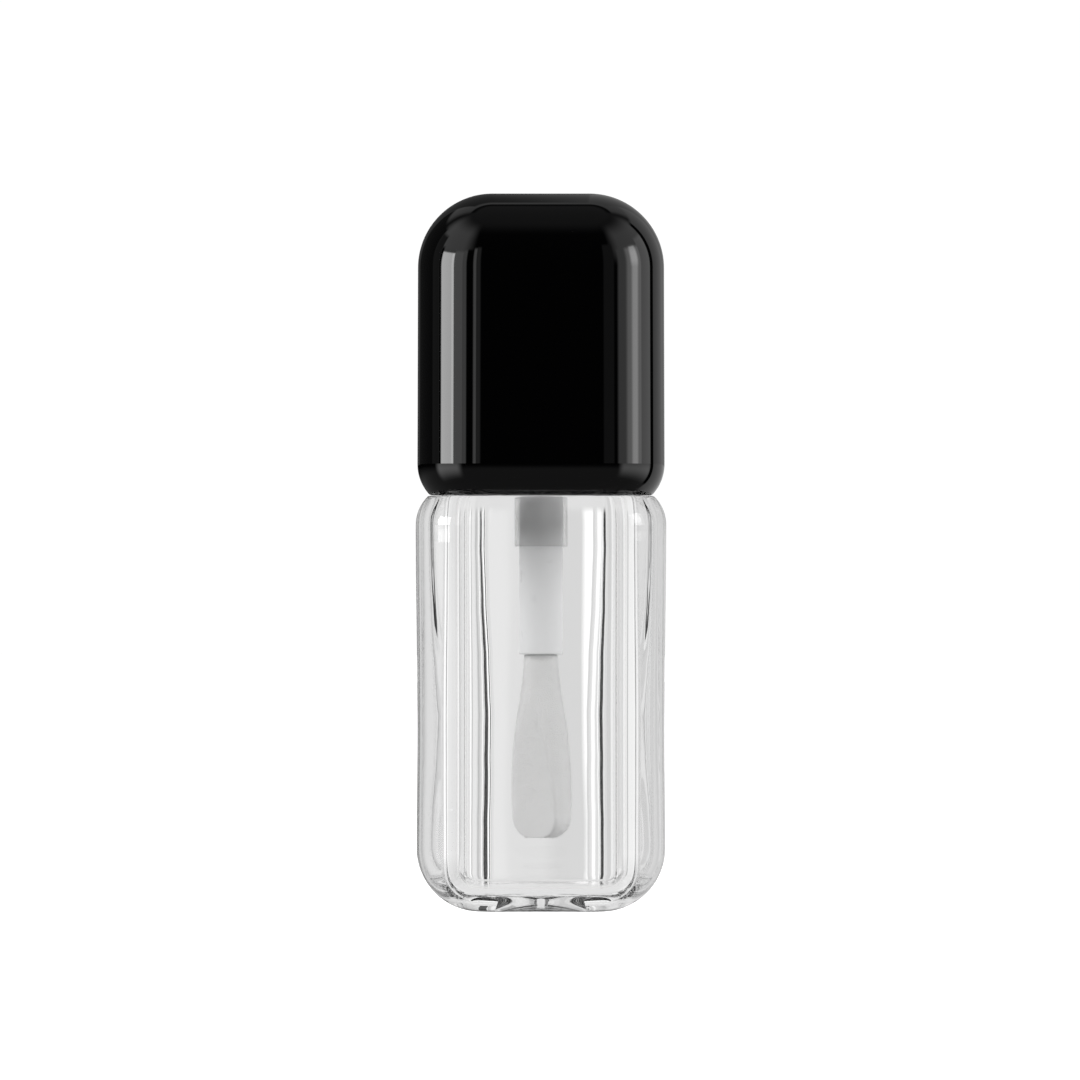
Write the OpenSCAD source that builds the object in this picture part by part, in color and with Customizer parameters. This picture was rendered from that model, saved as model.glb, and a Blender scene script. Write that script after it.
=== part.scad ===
// Square lip gloss tube: a thick-walled clear bottle with a screw neck and wiper, closed by a rounded
// overcap that carries the wand. The foot stands on Z = 0 and the wand hangs on the Z axis.

/* [Bottle] */
// Width of the square bottle across its flats
bottle_w = 25; // [24:0.5:28]
// Height of the bottle from its foot to its flat shoulder
bottle_h = 41.5; // [40:0.5:55]
// Radius of the upright corners of bottle and cap
corner_r = 7.5; // [7.5:0.1:8.5]
// Radius of the rounding round the foot
foot_r = 6.3; // [4:0.1:6.5]
// Radius of the rounded edge under the shoulder
shoulder_r = 4; // [3.2:0.1:5]
// Height of that edge, which the flat shoulder cuts short
shoulder_rise = 2.9; // [1:0.1:3]
// Diameter of the domed hollow under the foot
recess_d = 9.2; // [8:0.1:10]
// Depth of the hollow under the foot
recess_depth = 1.5; // [0.6:0.1:1.6]
// Diameter of the moulding gate's stub in the hollow
gate_d = 1.2; // [1:0.2:3]
// Height of the round step on the shoulder that the neck stands on
step_h = 1.6; // [1.2:0.1:2]
// Diameter of that step
step_d = 19.8; // [18.6:0.1:20]

/* [Chamber] */
// Width across the flats of the chamber that holds the gloss
chamber_w = 16.8; // [15:0.2:18]
// Radius of the chamber's upright corners
chamber_corner_r = 3.2; // [2.4:0.1:4]
// Radius of the rounding round the chamber's ceiling
chamber_top_r = 0.8; // [0.4:0.1:1.4]
// Radius of the rounding round the chamber's floor
chamber_floor_r = 2; // [1:0.1:2.2]
// Thickness of the base under the chamber
base_t = 2.9; // [2.4:0.1:4]
// Thickness of the step over the chamber
shoulder_t = 1.9; // [1.6:0.1:3]

/* [Neck] */
// Diameter of the neck between the turns of its thread
neck_d = 12.4; // [11.6:0.1:12.6]
// Height of the neck above the shoulder
neck_h = 13; // [12:0.5:14]
// Diameter of the hole through the neck
neck_bore = 9; // [8.6:0.1:9.6]
// Rise of the thread in one turn
thread_lead = 3; // [2.6:0.1:3.2]
// Number of turns of the thread
thread_turns = 1.5; // [1:0.25:1.75]
// Height of the thread's ridge over the neck
thread_depth = 0.7; // [0.5:0.05:0.8]

/* [Wiper] */
// Thickness of the flange that lies on the neck's mouth
wiper_flange_t = 0.8; // [0.6:0.1:1]
// Wall thickness of the plug that fills the neck's hole
wiper_wall = 0.6; // [0.5:0.05:0.8]
// Length of the plug from the neck's mouth to the start of its taper
wiper_plug_l = 6.5; // [5:0.5:7]
// Length of the taper between plug and sleeve
wiper_taper_l = 5.5; // [4.5:0.5:6]
// Wall thickness of the soft sleeve that wipes the stem
wiper_lip = 0.4; // [0.3:0.05:0.5]
// Depth of the sleeve's lower end below the shoulder
wiper_reach = 5; // [4:0.5:7]

/* [Cap] */
// Width of the overcap across its flats
cap_w = 24.7; // [24.2:0.1:26]
// Height of the overcap
cap_h = 30.1; // [29:0.1:34]
// Radius of the rounding round the top of the overcap
cap_top_r = 7.5; // [6:0.1:7.5]
// Radius of the rounded edge at the overcap's mouth
mouth_r = 4.5; // [4.2:0.1:6]
// Height of that edge, which the flat mouth cuts short
mouth_rise = 3.1; // [1.5:0.1:3.2]
// Wall thickness of the overcap
cap_wall = 2; // [1.6:0.1:2.2]
// Gap between the shoulder and the closed cap
seam_gap = 0.1; // [0.05:0.05:0.3]

/* [Inner cap] */
// Wall thickness of the threaded insert
insert_wall = 1.05; // [0.9:0.05:1.2]
// Thickness of the insert's square flange
insert_flange_t = 1.2; // [0.8:0.1:2]
// Thickness of the deck that closes the insert
deck_t = 1.5; // [1.2:0.1:2]
// Height of the socket that grips the wand above the deck
socket_h = 9; // [8:0.5:9.5]
// Wall thickness of that socket
socket_wall = 1.5; // [1.2:0.1:2]
// Thickness of the ribs inside the overcap and round the insert
rib_t = 1; // [0.8:0.1:1.4]
// Thickness of the seal ring
liner_t = 0.9; // [0.7:0.1:1.2]

/* [Wand] */
// Diameter of the stem
stem_d = 4.4; // [4:0.1:4.6]
// Diameter of the plug that the insert's socket grips
plug_d = 5.6; // [5.2:0.1:6]
// Gap between the tip and the chamber's floor
tip_gap = 4.2; // [4:0.1:6]
// Length of the applicator head
head_l = 18.6; // [16:0.2:20]
// Largest diameter of the applicator head
head_d = 6.4; // [5.6:0.1:6.6]
// Diameter of the applicator head where it meets the stem
head_neck_d = 3.7; // [3.4:0.1:4]
// Thickness of the flock
flock_t = 0.35; // [0.25:0.05:0.5]
// Lean of the head's flat face away from the wand's axis, in degrees
face_lean = 6; // [4:0.5:8]

/* [Hidden] */
$fn = 96;

// running clearance, as a radius, and the play left above and below the seal ring
run = 0.05;
// how far the thread's ridge reaches into its wall, and a hair that keeps two faces from coinciding
bite = 0.3;
hair = 0.01;

// heights
step_top = bottle_h + step_h;
ceiling_z = step_top - shoulder_t;
neck_top = bottle_h + neck_h;
wiper_top = neck_top + wiper_flange_t;
deck_z = wiper_top + liner_t + 2 * run;
cap_z = bottle_h + seam_gap;
insert_z = step_top + 0.3;
tip_z = base_t + tip_gap;
stem_z = tip_z + head_l;

// bottle thread and the matching thread of the insert
crest_r = neck_d / 2 + thread_depth;
insert_crest_r = crest_r + run + 0.02;
insert_r = insert_crest_r + thread_depth - 0.1;
insert_od = 2 * (insert_r + insert_wall);
ridge_root = 1.5;
ridge_crest = 0.7;
thread_z = bottle_h + 5.5;
steps_per_turn = 36;
fade_steps = 6;

// overcap cavity
cavity_w = cap_w - 2 * cap_wall;
cavity_corner_r = corner_r - cap_wall;
cap_fillet = min(cap_top_r, corner_r);

// wiper
wiper_flange_d = neck_d - 0.8;
sleeve_r = stem_d / 2 + run;

// wand
collar_d = 7.2;
collar_t = 0.8;
socket_d = plug_d + 2 * socket_wall;
barb_z = deck_z + 6;
barb_l = 1.5;
barb_rise = 0.35;
peg_d = 2;
peg_l = 6;

// applicator head: one long arc down its side and a tighter arc round its end
side_r = 50;
belly_z = tip_z + 4.4;
end_r = 2.3;
face_turn = 232;
face_start = head_l - 5.7;

// ---------------------------------------------------------------- shared shapes

// Outline of a wall's outer edge, from the axis of an upright corner out to its radius. The low and
// high edges are arcs that end level with, or are cut short by, the faces below and above.
module edge_outline(r, height, low_r, low_rise, high_r, high_rise) {
    translate([0, low_rise])
        square([r, height - low_rise - high_rise]);
    edge_arc(r, low_r, low_rise);
    if (high_rise > 0)
        translate([0, height])
            mirror([0, 1])
                edge_arc(r, high_r, high_rise);
}

// The part of that outline beside one rounded edge, with the arc's centre at height rise.
module edge_arc(r, arc_r, rise) {
    if (rise > 0) {
        if (r > arc_r)
            square([r - arc_r, rise]);
        intersection() {
            translate([r - arc_r, rise])
                circle(arc_r);
            translate([max(r - arc_r, 0), 0])
                square([arc_r, rise]);
        }
    }
}

// Square block with round upright corners whose edges follow the outline given as its child.
module squared_solid(width, r, height) {
    reach = width / 2 - r;
    translate([-reach, -reach, 0])
        cube([2 * reach, 2 * reach, height]);
    for (quarter = [0:3])
        rotate([0, 0, 90 * quarter]) {
            translate([reach, reach, 0])
                rotate_extrude(angle = 90)
                    children();
            translate([reach, 0, 0])
                rotate([90, 0, 0])
                    linear_extrude(2 * reach, center = true)
                        children();
        }
}

// Helical ridge round the Z axis. It grows from root_r to tip_r, outward or inward, reaches past
// root_r into its wall, and fades into that wall at both ends.
module thread_ridge(root_r, tip_r, turns) {
    inward = tip_r < root_r;
    side = inward ? 1 : -1;
    buried_r = root_r + side * bite;
    low_r = buried_r - side * 0.05;
    steps = round(turns * steps_per_turn);
    points = [
        for (i = [0:steps])
            let (
                turn = i * 360 / steps_per_turn,
                z = i * thread_lead / steps_per_turn,
                grown = min(1, i / fade_steps, (steps - i) / fade_steps),
                r = low_r + (tip_r - low_r) * grown
            )
            each [
                for (p = [[buried_r, -ridge_root / 2], [r, -ridge_crest / 2],
                          [r, ridge_crest / 2], [buried_r, ridge_root / 2]])
                    [p[0] * cos(turn), p[0] * sin(turn), z + p[1]]
            ]
    ];
    last = 4 * steps;
    ends = [[0, 1, 2], [0, 2, 3], [last, last + 2, last + 1], [last, last + 3, last + 2]];
    sides = [
        for (i = [0:steps - 1], j = [0:3])
            let (a = 4 * i + j, b = 4 * i + (j + 1) % 4)
            each [[a, a + 4, b + 4], [a, b + 4, b]]
    ];
    faces = concat(ends, sides);
    polyhedron(points, inward ? faces : [for (f = faces) [f[0], f[2], f[1]]], convexity = 6);
}

// ---------------------------------------------------------------- bottle body

module bottle() {
    color([0.85, 0.88, 0.9, 0.35])
        difference() {
            union() {
                squared_solid(bottle_w, corner_r, bottle_h)
                    edge_outline(corner_r, bottle_h, foot_r, foot_r, shoulder_r, shoulder_rise);
                translate([0, 0, bottle_h])
                    cylinder(d = step_d, h = step_h);
                translate([0, 0, bottle_h])
                    cylinder(d = neck_d, h = neck_h);
                translate([0, 0, thread_z])
                    thread_ridge(neck_d / 2, crest_r, thread_turns);
            }
            chamber();
            translate([0, 0, ceiling_z - 1])
                cylinder(d = neck_bore, h = neck_top - ceiling_z + 2);
            base_recess();
        }
}

module chamber() {
    chamber_h = ceiling_z - base_t;
    translate([0, 0, base_t])
        squared_solid(chamber_w, chamber_corner_r, chamber_h)
            edge_outline(chamber_corner_r, chamber_h, chamber_floor_r, chamber_floor_r,
                         chamber_top_r, chamber_top_r);
}

// Domed hollow that keeps the gate's stub off the table.
module base_recess() {
    dome_r = (recess_d * recess_d / 4 + recess_depth * recess_depth) / (2 * recess_depth);
    difference() {
        translate([0, 0, recess_depth - dome_r])
            sphere(dome_r);
        translate([0, 0, 0.3])
            cylinder(d = gate_d, h = recess_depth);
    }
}

module wiper() {
    bore_r = neck_bore / 2;
    plug_end = neck_top - wiper_plug_l;
    taper_end = plug_end - wiper_taper_l;
    sleeve_end = bottle_h - wiper_reach;
    lip_r = sleeve_r + wiper_lip;
    color([0.93, 0.94, 0.94])
        rotate_extrude()
            polygon([
                [sleeve_r, sleeve_end], [lip_r, sleeve_end], [lip_r, taper_end],
                [bore_r - 0.2, plug_end - 0.6], [bore_r, plug_end], [bore_r, neck_top],
                [wiper_flange_d / 2, neck_top], [wiper_flange_d / 2, wiper_top],
                [bore_r - wiper_wall + 0.2, wiper_top], [bore_r - wiper_wall, wiper_top - 0.4],
                [bore_r - wiper_wall, plug_end - 0.4], [sleeve_r, taper_end - 0.3]
            ]);
}

// ---------------------------------------------------------------- cap body

module cap_shell() {
    color([0.03, 0.03, 0.035])
        difference() {
            translate([0, 0, cap_z])
                squared_solid(cap_w, corner_r, cap_h)
                    edge_outline(corner_r, cap_h, mouth_r, mouth_rise, cap_fillet, cap_fillet);
            difference() {
                cap_cavity();
                cap_fins();
            }
        }
}

module cap_cavity() {
    cavity_h = cap_h - cap_wall + 1;
    top_r = cap_fillet - cap_wall;
    translate([0, 0, cap_z - 1])
        squared_solid(cavity_w, cavity_corner_r, cavity_h)
            edge_outline(cavity_corner_r, cavity_h, 0, 0, top_r, top_r);
}

// Crossed fins inside the top of the overcap, which bear on the insert's deck round its socket.
module cap_fins() {
    fin_z = deck_z + deck_t;
    difference() {
        for (turn = [0, 90])
            rotate([0, 0, turn])
                translate([-cavity_w, -rib_t / 2, fin_z])
                    cube([2 * cavity_w, rib_t, cap_h]);
        translate([0, 0, fin_z - 1])
            cylinder(d = socket_d + 0.2, h = socket_h + 1.5);
    }
}

module inner_cap() {
    body_h = deck_z + deck_t - insert_z;
    rib_h = body_h - 0.5;
    color([0.05, 0.05, 0.055]) {
        difference() {
            union() {
                translate([0, 0, insert_z])
                    cylinder(d = insert_od, h = body_h);
                translate([0, 0, insert_z])
                    squared_solid(cavity_w, cavity_corner_r, insert_flange_t)
                        square([cavity_corner_r, insert_flange_t]);
                for (turn = [0, 90])
                    rotate([0, 0, turn])
                        translate([-cavity_w / 2, -rib_t / 2, insert_z])
                            cube([cavity_w, rib_t, rib_h]);
                translate([0, 0, deck_z])
                    cylinder(d = socket_d, h = deck_t + socket_h);
            }
            translate([0, 0, insert_z - 1])
                cylinder(r = insert_r, h = deck_z - insert_z + 1);
            translate([0, 0, deck_z - 1])
                cylinder(d = plug_d, h = deck_t + socket_h + 2);
            translate([0, 0, barb_z - run])
                cylinder(d = plug_d + 2 * barb_rise + 2 * run, h = barb_l + 2 * run);
        }
        translate([0, 0, thread_z - thread_lead / 2])
            thread_ridge(insert_r, insert_crest_r, thread_turns);
    }
}

module cap_liner() {
    color([0.9, 0.9, 0.88])
        translate([0, 0, wiper_top + run])
            difference() {
                cylinder(d = neck_d + 0.2, h = liner_t);
                translate([0, 0, -1])
                    cylinder(d = collar_d + 0.4, h = liner_t + 2);
            }
}

module wand_rod() {
    plug_l = deck_t + socket_h - 0.5;
    color([0.88, 0.9, 0.91])
        difference() {
            union() {
                translate([0, 0, stem_z])
                    cylinder(d = stem_d, h = deck_z - stem_z);
                translate([0, 0, deck_z - collar_t])
                    cylinder(d = collar_d, h = collar_t);
                translate([0, 0, deck_z])
                    cylinder(d = plug_d, h = plug_l);
                translate([0, 0, barb_z])
                    cylinder(r1 = plug_d / 2 + barb_rise, r2 = plug_d / 2 - hair, h = barb_l);
            }
            translate([0, 0, stem_z - 1])
                cylinder(d = peg_d, h = peg_l + 1.2);
        }
}

// ---------------------------------------------------------------- applicator

// Half outline of the teardrop head, drawn inset from the flock's surface.
module head_outline(inset) {
    neck_r = head_neck_d / 2 - inset;
    belly_r = head_d / 2;
    side_start = tip_z + end_r;
    translate([0, side_start])
        square([neck_r, stem_z - side_start]);
    intersection() {
        translate([belly_r - side_r, belly_z])
            circle(side_r - inset, $fn = 720);
        translate([0, side_start])
            square([belly_r, stem_z - side_start]);
    }
    translate([0, tip_z + inset])
        square([belly_r - end_r, end_r - inset]);
    intersection() {
        translate([belly_r - end_r, side_start])
            circle(end_r - inset);
        translate([belly_r - end_r, tip_z])
            square([end_r, end_r]);
    }
}

// The head with its one flat face, which leans across the teardrop.
module head_solid(inset) {
    difference() {
        rotate_extrude()
            head_outline(inset);
        rotate([0, 0, face_turn])
            translate([head_neck_d / 2 + 0.65 - inset, 0, tip_z + face_start])
                rotate([0, face_lean, 0])
                    translate([0, -head_d, -2 * head_l])
                        cube([head_d, 2 * head_d, 3 * head_l]);
    }
}

module applicator_core() {
    color([0.95, 0.95, 0.93]) {
        head_solid(flock_t);
        translate([0, 0, stem_z - 1])
            cylinder(d = peg_d, h = peg_l + 1);
    }
}

module applicator_flock() {
    color([0.97, 0.97, 0.96])
        difference() {
            head_solid(0);
            head_solid(flock_t);
        }
}

bottle();
wiper();
cap_shell();
inner_cap();
cap_liner();
wand_rod();
applicator_core();
applicator_flock();
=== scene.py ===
"""Looks of the square lip gloss tube: clear thick-walled bottle, black screw cap and flocked wand.

Every mesh is worked out in millimetres from the CAD nodes' boxes and turned into metres when the
object is made. The front of the tube faces -Y.
"""

import math
import random

import bmesh
import bpy
import numpy as np
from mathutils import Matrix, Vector, noise


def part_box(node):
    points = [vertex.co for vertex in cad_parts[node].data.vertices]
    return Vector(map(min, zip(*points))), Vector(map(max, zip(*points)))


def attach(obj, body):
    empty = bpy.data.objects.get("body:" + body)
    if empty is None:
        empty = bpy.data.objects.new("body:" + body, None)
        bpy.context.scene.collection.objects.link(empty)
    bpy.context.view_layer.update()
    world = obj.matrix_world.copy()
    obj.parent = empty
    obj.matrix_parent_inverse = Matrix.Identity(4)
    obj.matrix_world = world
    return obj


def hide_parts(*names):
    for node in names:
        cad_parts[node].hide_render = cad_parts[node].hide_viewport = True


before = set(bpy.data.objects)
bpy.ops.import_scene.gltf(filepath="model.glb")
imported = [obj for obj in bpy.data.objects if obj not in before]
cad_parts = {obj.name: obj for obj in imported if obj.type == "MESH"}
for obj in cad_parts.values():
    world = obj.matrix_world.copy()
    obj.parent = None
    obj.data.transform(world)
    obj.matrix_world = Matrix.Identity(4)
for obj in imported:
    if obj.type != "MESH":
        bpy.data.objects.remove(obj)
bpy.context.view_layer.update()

MM = 0.001
HALF_PI = math.pi / 2
FULL_TURN = 2 * math.pi


# ---------------------------------------------------------------- sizes, in millimetres

def node_box(node):
    """Lowest and highest corner of a CAD node, in millimetres."""
    low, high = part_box(node)
    return low / MM, high / MM


_, bottle_high = node_box("bottle")
wiper_low, wiper_high = node_box("wiper")
cap_low, cap_high = node_box("cap_shell")
insert_low, insert_high = node_box("inner_cap")
liner_low, liner_high = node_box("cap_liner")
_, rod_high = node_box("wand_rod")
head_low, head_high = node_box("applicator_flock")
_, core_high = node_box("applicator_core")

# bottle
BOTTLE_HALF = bottle_high.x
NECK_TOP = bottle_high.z
NECK_H = 13.0
SHOULDER_Z = NECK_TOP - NECK_H
CORNER_R = 7.5
FOOT_R = 6.3
SHOULDER_R = 4.0
SHOULDER_RISE = 2.9
NECK_R = 6.2
BORE_R = 4.5
RECESS_R = 4.6
RECESS_DEPTH = 0.9
GATE_R = 0.6
GATE_Z = 0.3
STEP_R = 9.9
STEP_H = 1.6

# bottle walls: how deep the flats have sunk, the draft, and by how much the chamber's corners start
# further out than the bottle's and both get tighter above and below mid-height
SINK = 0.12
BOTTLE_CORNER_R = 7.65
BOTTLE_DRAFT = 0.09
CORNER_GAP = 0.35
CORNER_SPREAD_UP = 0.55
CORNER_SPREAD_DOWN = 0.15
CORNER_MID_Z = 19.0
CORNER_EASE = 18.0

# chamber
CHAMBER_HALF = 8.4
CHAMBER_TOP_R = 0.8
CHAMBER_FLOOR_R = 2.0
FLOOR_Z = 2.9
STEP_ROOF_T = 1.9
CEILING_Z = SHOULDER_Z + STEP_H - STEP_ROOF_T

# threads
THREAD_LEAD = 3.0
THREAD_TURNS = 1.5
THREAD_ROOT = 1.5
THREAD_CREST = 0.7
THREAD_DEPTH = 0.7
THREAD_Z = SHOULDER_Z + 5.5
THREAD_FADE = FULL_TURN / 6
INSERT_R = 7.57
INSERT_CREST_R = 6.97

# insert
INSERT_WALL = 1.05
FLANGE_T = 1.2

# wiper
RUN = 0.05
WIPER_PLUG_L = 6.5
WIPER_TAPER_L = 5.5
WIPER_WALL = 0.6
WIPER_LIP = 0.4

# cap
CAP_HALF = cap_high.x
CAP_TOP_R = 7.4
CAP_TAPER = 0.08
MOUTH_R = 4.5
MOUTH_RISE = 3.1
CAP_WALL = 2.0
CAVITY_CORNER_R = CORNER_R - CAP_WALL
ROD_ABOVE_DECK = 10.0
DECK_Z = rod_high.z - ROD_ABOVE_DECK
DECK_T = 1.5
RIB_T = 1.0
SOCKET_R = 4.3
PLUG_R = 2.8
BARB_RISE = 0.35
BARB_L = 1.5
BARB_Z = DECK_Z + 6.0

# wand
STEM_R = 2.2
PEG_R = 1.0
COLLAR_R = 3.6
COLLAR_T = 0.8
STEM_Z = head_high.z
TIP_Z = head_low.z
BELLY_R = 3.2
BELLY_Z = TIP_Z + 4.4
SIDE_R = 50.0
END_R = 2.3
HEAD_NECK_R = 1.85
FACE_TURN = math.radians(232)
FACE_LEAN = math.radians(6)
FACE_OUT = 2.5
FACE_Z = TIP_Z + 12.9
FLOCK_PILE = 0.16
FLOCK_T = 0.35
FIBRES = 6000


# ---------------------------------------------------------------- outlines and rings

SIDE_STEPS = 12
CORNER_STEPS = 48
GUARD = 0.02


def steps(start, end, count):
    """count + 1 evenly spaced numbers from start to end."""
    return [start + (end - start) * i / count for i in range(count + 1)]


def squared_ring(half, corner, z):
    """Closed ring: a square with round corners, anticlockwise from +X."""
    reach = half - corner
    side = [0, GUARD] + steps(0, 1, SIDE_STEPS - 2)[1:-1] + [1 - GUARD]
    quarter = [(reach + corner * math.cos(a), reach + corner * math.sin(a))
               for a in steps(0, HALF_PI, CORNER_STEPS)[:-1]]
    quarter += [(reach - 2 * reach * t, half) for t in side]
    ring = []
    for turn in range(4):
        c, s = ((1, 0), (0, 1), (-1, 0), (0, -1))[turn]
        ring += [(x * c - y * s, x * s + y * c, z) for x, y in quarter]
    return ring


RING_ANGLES = [math.atan2(y, x) % FULL_TURN for x, y, _ in squared_ring(12.5, CORNER_R, 0)]


def round_ring(radius, z, angles=RING_ANGLES):
    """Closed ring at a radius, or at a function of angle and height. At radius 0 it is a pole."""
    if radius == 0:
        return [(0, 0, z)]
    ring = []
    for a in angles:
        r = radius(a, z) if callable(radius) else radius
        ring.append((r * math.cos(a), r * math.sin(a), z))
    return ring


def softened(corners, radius=0.15, bends=4):
    """The outline through the corners, with each inner corner rounded and clear of its flats."""
    points = [corners[0]]
    for before, corner, after in zip(corners, corners[1:], corners[2:]):
        here = Vector(corner[:2])
        r = corner[2] if len(corner) > 2 else radius
        to_last = Vector(before[:2]) - here
        to_next = Vector(after[:2]) - here
        reach = min(r, 0.4 * to_last.length, 0.4 * to_next.length)
        start = here + to_last.normalized() * reach
        end = here + to_next.normalized() * reach
        points.append(tuple(start + to_last.normalized() * reach * 0.15))
        for t in steps(0, 1, bends):
            points.append(tuple(start * (1 - t) ** 2 + here * 2 * t * (1 - t) + end * t ** 2))
        points.append(tuple(end + to_next.normalized() * reach * 0.15))
    points.append(corners[-1][:2])
    return [(p[0], p[1]) for p in points]


def divided(points, longest):
    """The outline with no step longer than longest."""
    out = [points[0]]
    for a, b in zip(points, points[1:]):
        count = max(1, math.ceil(math.dist(a, b) / longest))
        out += [(a[0] + (b[0] - a[0]) * i / count, a[1] + (b[1] - a[1]) * i / count)
                for i in range(1, count + 1)]
    return out


def thread_rise(angle, z, start_z):
    """Height of the helical ridge over its wall at an angle and a height."""
    total = THREAD_TURNS * FULL_TURN
    best = 0.0
    for lap in range(math.ceil(THREAD_TURNS)):
        swept = angle % FULL_TURN + lap * FULL_TURN
        if swept > total:
            break
        off = abs(z - start_z - THREAD_LEAD * swept / FULL_TURN)
        grown = min(1.0, swept / THREAD_FADE, (total - swept) / THREAD_FADE)
        flank = (THREAD_ROOT / 2 - off) / (THREAD_ROOT / 2 - THREAD_CREST / 2)
        flank = min(1.0, max(0.0, flank))
        best = max(best, THREAD_DEPTH * grown * flank * flank * (3 - 2 * flank))
    return best


# ---------------------------------------------------------------- meshes and objects

def skin(rings, loop=False):
    """Vertices and faces between neighbouring rings. A ring of one point is a pole."""
    verts = []
    starts = []
    for ring in rings:
        starts.append(len(verts))
        verts += ring
    pairs = list(zip(range(len(rings)), range(1, len(rings))))
    if loop:
        pairs.append((len(rings) - 1, 0))
    faces = []
    for a, b in pairs:
        count = max(len(rings[a]), len(rings[b]))
        for i in range(count):
            j = (i + 1) % count
            if len(rings[a]) == 1:
                faces.append((starts[a], starts[b] + j, starts[b] + i))
            elif len(rings[b]) == 1:
                faces.append((starts[a] + i, starts[a] + j, starts[b]))
            else:
                faces.append((starts[a] + i, starts[a] + j, starts[b] + j, starts[b] + i))
    return verts, faces


def joined(*parts):
    """One list of vertices and one of faces from several closed shells."""
    verts = []
    faces = []
    for more_verts, more_faces in parts:
        shift = len(verts)
        verts += more_verts
        faces += [tuple(i + shift for i in face) for face in more_faces]
    return verts, faces


def turned(part, angle):
    """The shell turned about Z."""
    c = math.cos(angle)
    s = math.sin(angle)
    return [(x * c - y * s, x * s + y * c, z) for x, y, z in part[0]], part[1]


def slab(outline, thickness, bevel=0.12):
    """A plate in the XZ plane with bevelled faces, from an outline of (x, z) in order."""
    middle = Vector((sum(p[0] for p in outline), sum(p[1] for p in outline))) / len(outline)
    rings = []
    for y, shrink in ((-1, bevel), (-1, 0), (1, 0), (1, bevel)):
        depth = y * (thickness / 2 - (0 if shrink else bevel))
        ring = []
        for p in outline:
            inward = (middle - Vector(p)).normalized() * shrink
            ring.append((p[0] + inward.x, depth, p[1] + inward.y))
        rings.append(ring)
    verts, faces = skin(rings)
    count = len(outline)
    faces.append(tuple(reversed(range(count))))
    faces.append(tuple(range(3 * count, 4 * count)))
    return verts, faces


def make(name, part, body, material, replaces=None):
    """The finished object of a mesh: it rides on its body, takes its material and hides the CAD
    part it replaces.
    """
    verts, faces = part
    mesh = bpy.data.meshes.new(name)
    mesh.from_pydata([(x * MM, y * MM, z * MM) for x, y, z in verts], [], faces)
    shape = bmesh.new()
    shape.from_mesh(mesh)
    bmesh.ops.remove_doubles(shape, verts=shape.verts, dist=1e-7)
    bmesh.ops.recalc_face_normals(shape, faces=shape.faces)
    for face in shape.faces:
        face.smooth = True
    shape.to_mesh(mesh)
    shape.free()
    mesh.materials.append(material)
    piece = bpy.data.objects.new(name, mesh)
    bpy.context.scene.collection.objects.link(piece)
    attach(piece, body)
    if replaces:
        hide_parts(replaces)
    return piece


def lathe(outline, angles=RING_ANGLES, loop=False):
    """Shell turned from an outline of (radius, height)."""
    return skin([round_ring(r, z, angles) for r, z in outline], loop)


# ---------------------------------------------------------------- materials

class Finish:
    """A node material round one Principled shader, with short ways to add to it."""

    def __init__(self, name, sockets):
        self.material = bpy.data.materials.new(name)
        self.material.use_nodes = True
        self.nodes = self.material.node_tree.nodes
        self.links = self.material.node_tree.links
        self.shader = self.nodes["Principled BSDF"]
        for socket, value in sockets.items():
            self.shader.inputs[socket].default_value = value
        self.place = self.nodes.new("ShaderNodeTexCoord").outputs["Object"]

    def node(self, kind, inputs, **settings):
        """A new node with its settings and its inputs, each a value or another node's socket."""
        node = self.nodes.new(kind)
        for name, value in settings.items():
            setattr(node, name, value)
        for name, value in inputs.items():
            if isinstance(value, bpy.types.NodeSocket):
                self.links.new(value, node.inputs[name])
            else:
                node.inputs[name].default_value = value
        return node

    def stretched(self, x, y, z):
        """Coordinates stretched along the axes, for streaks."""
        return self.node("ShaderNodeMapping", {"Vector": self.place, "Scale": (x, y, z)}).outputs[0]

    def clouds(self, size, detail=3.0, place=None):
        """Noise whose blotches are about size millimetres across."""
        inputs = {"Vector": place or self.place, "Scale": 1000 / size, "Detail": detail}
        return self.node("ShaderNodeTexNoise", inputs).outputs["Fac"]

    def cells(self, size, feature="F1"):
        """Distance from the nearest of many scattered points about size millimetres apart."""
        inputs = {"Vector": self.place, "Scale": 1000 / size}
        return self.node("ShaderNodeTexVoronoi", inputs, feature=feature).outputs["Distance"]

    def spread(self, value, low, high, start=0.3, end=0.7):
        """The value stretched from start..end to low..high."""
        inputs = {"Value": value, "From Min": start, "From Max": end, "To Min": low, "To Max": high}
        return self.node("ShaderNodeMapRange", inputs).outputs["Result"]

    def mixed(self, share, first, second):
        """One colour where share is 0 and the other where it is 1."""
        ramp = self.node("ShaderNodeValToRGB", {"Fac": share})
        ramp.color_ramp.elements[0].color = (*first, 1)
        ramp.color_ramp.elements[1].color = (*second, 1)
        return ramp.outputs["Color"]

    def feed(self, socket, value):
        self.links.new(value, self.shader.inputs[socket])

    def relief(self, *heights):
        """Bumps on each other, each a texture and its height in millimetres."""
        normal = None
        for texture, height in heights:
            inputs = {"Height": texture, "Strength": 1.0, "Distance": height * MM}
            if normal is not None:
                inputs["Normal"] = normal
            normal = self.node("ShaderNodeBump", inputs).outputs["Normal"]
        self.feed("Normal", normal)


def clear_plastic():
    """Water-clear moulded copolyester: faint flow waviness and a hint of handling haze."""
    finish = Finish("clear_copolyester", {"Transmission Weight": 1.0, "IOR": 1.53})
    dark = (0.986, 0.986, 0.985)
    pale = (0.996, 0.996, 0.996)
    finish.feed("Base Color", finish.mixed(finish.clouds(9), dark, pale))
    finish.feed("Roughness", finish.spread(finish.clouds(5), 0.0, 0.012, 0.45, 0.8))
    finish.relief((finish.clouds(7, 1.0, finish.stretched(1, 1, 0.35)), 0.005))
    return finish.material


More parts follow.
